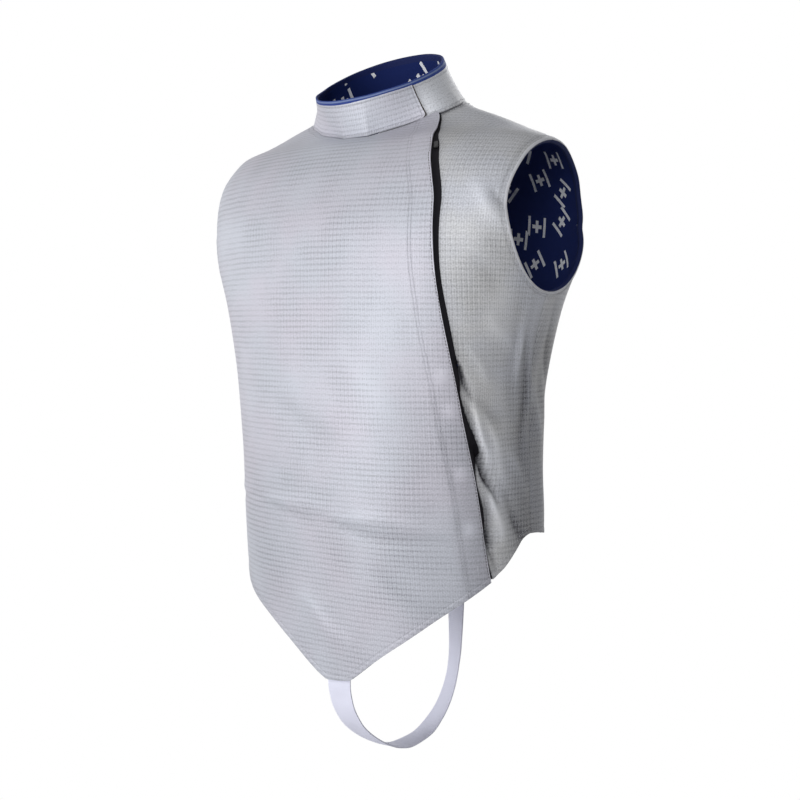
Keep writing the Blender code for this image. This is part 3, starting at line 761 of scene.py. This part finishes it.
innerRows = rowShares(*panelGrid["innerRows"])
side, point, flap, panel = frontEdges(innerRows)
columns = stretchColumns([-side, *point, side], panelGrid["lining"])
liningFront = innerSheet("liningFront", columns, liningOut, navy)
columns = backColumns(innerRows, panelGrid["liningBack"])
liningBack = innerSheet("liningBack", columns, liningOut, navy)
tapeStart, tapeEnd = flap - (flap - 5) * innerLook["tapeIn"], panel + (side - panel) * innerLook["tapeOut"]
columns = stretchColumns([tapeStart, flap, panel, tapeEnd], panelGrid["tape"])
zipTape = innerSheet("zipTape", columns, tapeOut, blackWeave)
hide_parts("lining_front")
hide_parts("lining_back")
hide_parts("zip_tape")
print("linings and tape made")

# armhole bindings: a tape folded round all the layers of the edge
binding = {"overlap": 0.0012, "inset": 0.0011, "proud": 0.0004, "thickness": 0.0004, "length": 0.46,
           "width": 0.012, "steps": 120, "across": 16}


def armholePoint(side, angle, inset, out):  # angle 0 under the arm, 90 at the front, 180 at the shoulder
    angle, inset, out = np.broadcast_arrays(angle, inset, out)
    s = -np.cos(np.radians(angle))
    height = armholeMiddle + (armholeTop - armholeMiddle - inset) * s
    sine = np.sin(np.radians(angle))
    isFront = sine >= 0
    reach = (armholeReach(s, isFront) - inset) * np.abs(sine)

    def isPast(turn):
        bodyTurn = np.where(isFront, turn, 180 - turn)
        return np.abs(softForm(bodyTurn, height)[..., 1] - armhole["middleY"]) < reach

    turn = findTurn(20.0, angle.shape, isPast)
    return bodyPoint(side * np.where(isFront, turn, 180 - turn), height, out)


def foldedTape(name, look, placeAt, material):  # a ring of tape, folded over an edge
    s = np.linspace(0, 1, look["steps"] + 1)[None, :]
    t = np.linspace(0, 1, look["across"] + 1)[:, None]
    grain = np.stack(np.broadcast_arrays(s * look["length"], t * look["width"]), -1)
    piece = clothSheet(name, placeAt(s, t), grain, {}, look["thickness"], closed=True)
    return wear(piece, material)


def tapeProfile(t, overlap, inset, high, low):  # from over the edge, round it, to under it
    depth = high - low
    run = t * (2 * overlap + 2 * inset + depth) - overlap - inset
    isTop, isUnder = run < 0, run > depth
    corner = min(inset, depth / 2)
    across = np.where(isTop, run + inset, np.where(isUnder, inset + depth - run, inset))
    rise = np.where(isTop, high, np.where(isUnder, low, high - run))
    nearTop = np.maximum(0, rise - (high - corner)) / corner
    nearLow = np.maximum(0, (low + corner) - rise) / corner
    ahead = np.maximum(0, across - (inset - corner)) / corner
    pull = 1 / np.maximum(1, np.hypot(np.maximum(nearTop, nearLow), ahead))  # round the two corners off
    middle = np.where(nearTop > nearLow, high - corner, low + corner)
    rise = np.where(pull < 1, middle + (rise - middle) * pull, rise)
    across = np.where(pull < 1, inset - corner + (across - (inset - corner)) * pull, across)
    return across, rise


for name, sign in (("Left", 1), ("Right", -1)):
    def place(s, t, sign=sign):
        inset, out = tapeProfile(t, binding["overlap"], binding["inset"], binding["proud"],
                                 liningOut - layers["lining"] - binding["proud"])
        return armholePoint(sign, 180 + sign * (s * 360 - 180), inset, out)

    tape = foldedTape("armholeBinding" + name, binding, place, greyWeave)
    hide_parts("armhole_binding_" + name.lower())
print("armhole bindings made")

# the collar's pieces, by the turn round the neck and the share of the collar's height
collar = {"neckY": -0.009, "halfWidth": 0.073, "halfDepth": 0.064, "rimY": -0.022, "rimHeight": 0.032,
          "slope": 0.50, "height": 0.040, "flare": 0.25, "clearance": -0.0004, "layerGap": 0.0007,
          "tabEnd": 62, "underlapEnd": 30, "tabEase": 25, "tabSlant": 5.0, "tabCorner": 3.5, "wave": 0.0005,
          "ripple": 0.0003, "stitchLow": 0.0035, "stitchTop": 0.0030, "shade": 0.25, "creaseShade": 0.40}
neckTurns = np.linspace(-180, 180, 721)
neckPoints = plainForm(neckTurns, cutAt("neck", neckTurns))
neckAround = np.degrees(np.arctan2(neckPoints[:, 0], collar["neckY"] - neckPoints[:, 1]))
neckAround[0], neckAround[-1] = -180, 180


def collarPoint(around, share, out):  # share 0 at the neck seam, 1 at the top of the silver cloth
    around, share, out = np.broadcast_arrays(np.asarray(around, float), share, out)
    at, angle = wrapTurn(around), np.radians(around)
    base = np.stack([np.interp(at, neckAround, neckPoints[:, k]) for k in range(3)], -1)
    base[..., 2] += collar["clearance"]
    fromMiddle = -collar["halfDepth"] * np.cos(angle)
    rim = np.stack([collar["halfWidth"] * np.sin(angle), collar["rimY"] + fromMiddle,
                    collar["rimHeight"] + collar["slope"] * fromMiddle], -1)
    outward = np.stack([np.sin(angle), -np.cos(angle), np.full_like(angle, collar["flare"])], -1)
    outward /= np.linalg.norm(outward, axis=-1, keepdims=True)
    out = out - layers["gap"] + collar["ripple"] * np.sin(11 * angle)
    out = out + collar["wave"] * np.sin(5 * angle + 1) * np.sin(np.pi * share)
    return base + (rim - base) * share[..., None] + outward * out[..., None]


def tabOut(around):
    over = layers["shell"] + collar["layerGap"]
    return over * smoothStep((around - collar["underlapEnd"] + collar["tabEase"]) / (collar["tabEase"] - 3))


def collarSheet(name, start, end, material, out=0.0, thickness=layers["shell"], rows=16, spacing=2.0):
    around = (start + (end - start) * closer(int((end - start) / spacing)))[None, :]
    flat, share = np.broadcast_arrays(around, closer(rows)[:, None])
    isTab = name == "collarRight"
    if isTab:  # the tab's end slants, and its lower corner is round
        corner = collar["tabCorner"] * np.clip(1 - share / 0.10, 0, 1) ** 2
        flat = flat + (collar["tabSlant"] * (1 - share) - corner) * easeBetween(flat, end - 30, end)
        out = tabOut(flat)
    points = collarPoint(flat, share, out)
    lengths = np.linalg.norm(np.diff(points[rows // 2], axis=0), axis=1)
    u = np.concatenate([[0], np.cumsum(lengths)]) + np.zeros_like(flat)
    v = share * collar["height"]
    far = np.full_like(u, 1.0)
    seamsA = np.stack([v - collar["stitchLow"], collar["height"] - v - collar["stitchTop"], far], -1)
    seamsB = np.stack([u[:, -1:] - u - collar["stitchLow"] if isTab else far, far, far], -1)
    shade = collar["shade"] * fade(v, 0.0022) + collar["creaseShade"] * fade(v, 0.0007)
    marks = {} if material is navy else {"seamsA": seamsA, "seamsB": seamsB, "shade": shade}
    return wear(clothSheet(name, points, np.stack([u, v], -1), marks, thickness), material)


tabEnd = collar["tabEnd"]
collarRight = collarSheet("collarRight", seamTurn - 180, tabEnd, silver)
tabLook = {"colour": (0.030, 0.024, 0.020), "width": 0.0013}
darkThread = newMaterial("darkThread", tabLook["colour"], 0.8)
collarRight.data.materials.append(darkThread)
collarGrain = np.empty(len(collarRight.data.loops) * 2)
collarRight.data.uv_layers["grain"].data.foreach_get("uv", collarGrain)
lengthways = collarGrain[0::2]
for face in collarRight.data.polygons:
    if lengthways[face.loop_indices].mean() > lengthways.max() - tabLook["width"]:
        face.material_index = 1
collarLeft = collarSheet("collarLeft", collar["underlapEnd"], 180 - seamTurn, heather)
collarLining = collarSheet("collarLining", tabEnd + seamTurn, 360 + tabEnd - seamTurn, navy,
                           -layers["shell"] - collar["layerGap"], layers["lining"], 12, 3.0)
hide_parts("collar_right")
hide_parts("collar_left")
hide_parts("collar_lining")
print("collar made")

# the blue tape folded over the top of the collar
band = {"overlap": 0.0006, "height": 0.0055, "proud": 0.0002, "thickness": 0.0004, "steps": 160, "across": 18,
        "length": 0.43, "width": 0.015}
# the lighter line along the band's outer face is a painted highlight
blueWeave = makePlainWeave("blueBand", {
    "colour": (0.040, 0.075, 0.300), "dark": (0.015, 0.028, 0.13), "contrast": 0.6,
    "highlightLine": (0.28, 0.36, 0.58), "highlightLineAt": 0.0034, "inner": (0.0080, 0.0160, 0.0900), "innerFrom": 0.0072})


def bandPlace(s, t):
    low = -layers["shell"] - layers["gap"] - layers["lining"] - band["proud"]
    rise, out = tapeProfile(t, band["overlap"], band["height"], band["proud"], low)
    return collarPoint(tabEnd + s * 360, 1 + (rise + layers["gap"]) / collar["height"], out)


collarBand = foldedTape("collarBand", band, bandPlace, blueWeave)
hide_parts("collar_band")
print("collar band made")

# the middle of the strap, from the point of the front down and up to the middle of the back hem
strapLine = {
    "at": list(range(16)),
    "x": [0, 0, 0, 0, 0, 0, 0.001, 0.004, 0.007, 0.010, 0.012, 0.013, 0.013, 0.013, 0.013, 0.013],
    "y": [-0.0920, -0.0935, -0.0895, -0.0745, -0.0480, -0.0080, 0.0160, 0.0450,
          0.0670, 0.0860, 0.0975, 0.1010, 0.1020, 0.0980, 0.0855, 0.0845],
    "height": [-0.578, -0.604, -0.624, -0.650, -0.673, -0.694, -0.699, -0.695,
               -0.682, -0.660, -0.630, -0.600, -0.560, -0.510, -0.458, -0.436],
    "twist": [0, 0, 0, 0, 0, 0, 3, 10, 19, 28, 32, 28, 20, 8, 0, 0],
}
strapLook = {"width": 0.030, "thickness": 0.0013, "ripple": 0.0006, "grainLength": 0.42, "steps": 160}


def strapMiddle(at):
    return np.stack([smoothCurve(strapLine, "at", key, at) for key in ("x", "y", "height")], -1)


def strapPoints(s, t):
    at = s * 15
    inner = np.clip(at, 0.05, 14.95)
    ahead = strapMiddle(inner + 0.05) - strapMiddle(inner - 0.05)
    ahead /= np.linalg.norm(ahead, axis=-1, keepdims=True)
    twist = np.radians(smoothCurve(strapLine, "at", "twist", at))[..., None]
    right = np.zeros_like(ahead)
    right[..., 0] = 1
    across = right * np.cos(twist) + np.cross(right, ahead) * np.sin(twist)
    normal = np.cross(across, ahead)
    offset = (t - 0.5) * strapLook["width"]
    edge = np.minimum(t, 1 - t) * strapLook["width"]
    ripple = strapLook["ripple"] * np.sin(s * 55 + t * 2) * smoothStep(edge / 0.01)
    return strapMiddle(at) + across * (offset + 0 * s)[..., None] + normal * ripple[..., None]


webbing = makePlainWeave("whiteWebbing", {
    "colour": (0.85, 0.86, 1.00), "dark": (0.76, 0.77, 0.95), "gloss": 0.5, "pitch": 0.0016, "stretch": 0.6,
    "bump": 0.00003})
s, t = np.linspace(0, 1, strapLook["steps"] + 1)[:, None], closer(14)[None, :]
grain = np.stack(np.broadcast_arrays(t * strapLook["width"], s * strapLook["grainLength"]), -1)
strap = clothSheet("webbingStrap", strapPoints(s, t), grain, {}, strapLook["thickness"], offset=0)
wear(strap, webbing)
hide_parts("strap")
print("strap made")

# stitching: one stitch, repeated along each sewn line
stitch = {"length": 0.0021, "pitch": 0.0032, "radius": 0.00026, "proud": 0.0001, "colour": (0.60, 0.61, 0.66)}
greyThread = newMaterial("greyThread", stitch["colour"], 0.6)


def stitchLine(points, pitch=stitch["pitch"], length=stitch["length"]):
    outline = bpy.data.curves.new("sewnLine", "CURVE")
    outline.dimensions = "3D"
    spline = outline.splines.new("POLY")
    spline.points.add(len(points) - 1)
    spline.points.foreach_set("co", np.column_stack([points, np.ones(len(points))]).ravel())
    path = bpy.data.objects.new("sewnLine", outline)
    bpy.context.collection.objects.link(path)
    total = np.linalg.norm(np.diff(points, axis=0), axis=1).sum()
    deselectAll()
    bpy.ops.mesh.primitive_cylinder_add(vertices=6, radius=stitch["radius"], depth=length,
                                        rotation=(0, math.pi / 2, 0), location=(length / 2, 0, 0))
    thread = bpy.context.object
    bpy.ops.object.transform_apply(location=True, rotation=True)
    editAll(bpy.ops.mesh.bevel, offset=stitch["radius"] * 0.5, segments=1)
    applyModifier(thread, "ARRAY", use_relative_offset=False, use_constant_offset=True,
                  constant_offset_displace=(pitch, 0, 0), count=max(1, int(total / pitch)))
    applyModifier(thread, "CURVE", object=path, deform_axis="POS_X")
    bpy.data.objects.remove(path)
    return thread


def sewn(name, lines, material=greyThread, **sizes):
    made = [stitchLine(points, **sizes) for points in lines]
    deselectAll()
    for thread in made:
        thread.select_set(True)
    bpy.context.view_layer.objects.active = made[0]
    if len(made) > 1:
        bpy.ops.object.join()
    piece = bpy.context.object
    piece.name = piece.data.name = name
    bpy.ops.object.shade_smooth()
    return wear(piece, material)


def besideFlap(distance, low, high, count=90):  # line at a distance inside the flap's edge
    heights = np.linspace(low, high, count)
    around = aroundAt(turnAtX(edgeX(heights), heights), heights) - distance
    levels = np.rint(levelOf(heights)).astype(int)
    turns = [np.interp(place, arcAround[:, level], arcTurns) for place, level in zip(around, levels)]
    return np.array(turns), heights


def hemLine(low, high, count=160):
    turns = np.linspace(low, high, count)
    hem = cutAt("hem", wrapTurn(turns))
    heights = hem + 0.0060
    for step in range(3):  # brought to the true distance from the hem
        away = edgeDistances(turns, heights)["hem"]
        heights = hem + (heights - hem) * seams["hem"] / np.maximum(away, 0.001)
    return turns, heights


def neckLine(low, high, count=80):
    turns = np.linspace(low, high, count)
    neck, trial = cutAt("neck", wrapTurn(turns)), 0.003
    away = edgeDistances(turns, neck - trial)["neck"]
    return turns, neck - trial * seams["neck"] / np.maximum(away, 0.001)


def onShell(turns, heights, isFlap=False):
    out = np.full_like(turns, stitch["proud"])
    return bodyPoint(turns, heights, out + flapRise(turns, heights) if isFlap else out)


frontLines = [onShell(*besideFlap(flapLook["placket"] + twin, *flapLook["placketRun"]), True)
              for twin in (0, flapLook["twin"])]
frontLines += [onShell(*hemLine(-89, 53), True), onShell(*neckLine(-89, 44))]
edgeLine = onShell(*besideFlap(flapLook["edgeStitch"], *flapLook["edgeRun"]), True)
sewnEdge = sewn("stitchesEdge", [edgeLine], darkThread)
sewnFront = sewn("stitchesFront", frontLines)
sewnSide = sewn("stitchesSide", [onShell(*hemLine(62, 89)), onShell(*neckLine(50, 89))])
sewnBack = sewn("stitchesBack", [onShell(*hemLine(91, 269)), onShell(*neckLine(91, 269))])
armTurns = np.linspace(2, 358, 160)
sewnArms = sewn("stitchesArmholes", [armholePoint(sign, armTurns, -seams["arm"], stitch["proud"])
                                     for sign in (1, -1)])
low, top = collar["stitchLow"] / collar["height"], 1 - collar["stitchTop"] / collar["height"]
tabShares = np.linspace(0.12, top, 24)
ring, leftRing = np.linspace(-178, tabEnd - 1.5, 140), np.linspace(tabEnd + 1.5, 178, 80)
collarLines = [collarPoint(ring, share, tabOut(ring) + stitch["proud"]) for share in (low, top)]
collarLines += [collarPoint(leftRing, share, stitch["proud"]) for share in (low, top)]
collarLines.append(collarPoint(tabEnd - 2.6 + collar["tabSlant"] * (1 - tabShares), tabShares,
                               tabOut(tabEnd - 1.0) + stitch["proud"]))
sewnCollar = sewn("stitchesCollar", collarLines)
tack = {"inside": 0.012, "low": -0.4725, "high": -0.4635, "turns": (0, 0.28, 0.56)}
tackTurns, tackHeights = besideFlap(tack["inside"], tack["low"], tack["high"], 12)
sewnTack = sewn("barTack", [onShell(tackTurns + shift, tackHeights, True) for shift in tack["turns"]],
                pitch=0.0011, length=0.0009)
print("stitches made")

# zip teeth along the tape, under the flap's edge
teeth = {"pitch": 0.0018, "length": 0.0010, "out": 0.0004, "beside": 0.0004, "low": -0.478, "high": -0.060}
toothHeights = np.linspace(teeth["low"], teeth["high"], 110)
toothTurns = turnAtX(edgeX(toothHeights) + teeth["beside"], toothHeights)
toothOut = np.full_like(toothTurns, tapeOut + teeth["out"])
zipTeeth = stitchLine(bodyPoint(toothTurns, toothHeights, toothOut), teeth["pitch"], teeth["length"])
zipTeeth.name = zipTeeth.data.name = "zipTeeth"
wear(zipTeeth, newMaterial("blackTeeth", (0.02, 0.02, 0.022), 0.4))
slider = bpy.data.objects["zip_slider"]
slider.data.materials.clear()
darkSteel = newMaterial("darkSteel", (0.012, 0.012, 0.014), 0.5)
tree = darkSteel.node_tree
scuffs = cloudy(tree, addNode(tree, "ShaderNodeTexCoord").outputs["Object"], 900.0)
plugIn(tree, remap(tree, scuffs, 0.3, 0.7, 0.40, 0.65), "Roughness")
slider.data.materials.append(darkSteel)
print("zip made")
room = {"floorSize": 2.3, "floorHeight": -1.45, "floor": (0.80, 0.80, 0.82), "onCloth": 0.15, "behind": 1.0}
bpy.ops.mesh.primitive_plane_add(size=room["floorSize"], location=(0, 0, room["floorHeight"]))
floor = bpy.context.object
floor.name = "floor"
floor.data.materials.append(newMaterial("paleFloor", room["floor"], 0.9))

world = bpy.data.worlds.new("whiteRoom")
bpy.context.scene.world = world
world.use_nodes = True
tree = world.node_tree
rays = addNode(tree, "ShaderNodeLightPath").outputs
seen = overAll(tree, "MAXIMUM", rays["Is Camera Ray"], rays["Is Glossy Ray"], rays["Is Transmission Ray"])
background = tree.nodes["Background"].inputs
background["Color"].default_value = (1, 1, 1, 1)
tree.links.new(remap(tree, seen, 0.0, 1.0, room["onCloth"], room["behind"]), background["Strength"])

lamps = {"key": {"energy": 22, "size": 1.0, "at": (-0.80, -2.5, -0.40)},
         "left": {"energy": 23, "size": 1.0, "at": (1.15, -2.3, 0.35)},
         "side": {"energy": 6.5, "size": 1.2, "at": (-2.4, -0.6, 0.10)},
         "low": {"energy": 5.5, "size": 0.6, "at": (-0.9, -1.9, -1.05)},
         "rear": {"energy": 25, "size": 1.6, "at": (-0.4, 2.4, 0.6)}}
for name, lamp in lamps.items():
    bpy.ops.object.light_add(type="AREA", location=lamp["at"])
    light = bpy.context.object
    light.name = name + "Lamp"
    light.data.energy = lamp["energy"]
    light.data.size = lamp["size"]
    light.rotation_euler = (Vector((0, 0, -0.3)) - Vector(lamp["at"])).to_track_quat("-Z", "Y").to_euler()

view = {"target": (0.00555, 0.00426, -0.3095), "azimuth": 37.5, "elevation": 3.42, "distance": 1.37,
        "lens": 56.02}
a, e = math.radians(view["azimuth"]), math.radians(view["elevation"])
away = Vector((math.sin(a) * math.cos(e), -math.cos(a) * math.cos(e), math.sin(e)))
bpy.ops.object.camera_add(location=Vector(view["target"]) + away * view["distance"])
camera = bpy.context.object
camera.rotation_euler = (-away).to_track_quat("-Z", "Y").to_euler()
camera.data.lens = view["lens"]
camera.data.sensor_width = 36
bpy.context.scene.camera = camera
bpy.context.scene.view_settings.view_transform = "Standard"
print("stage set")
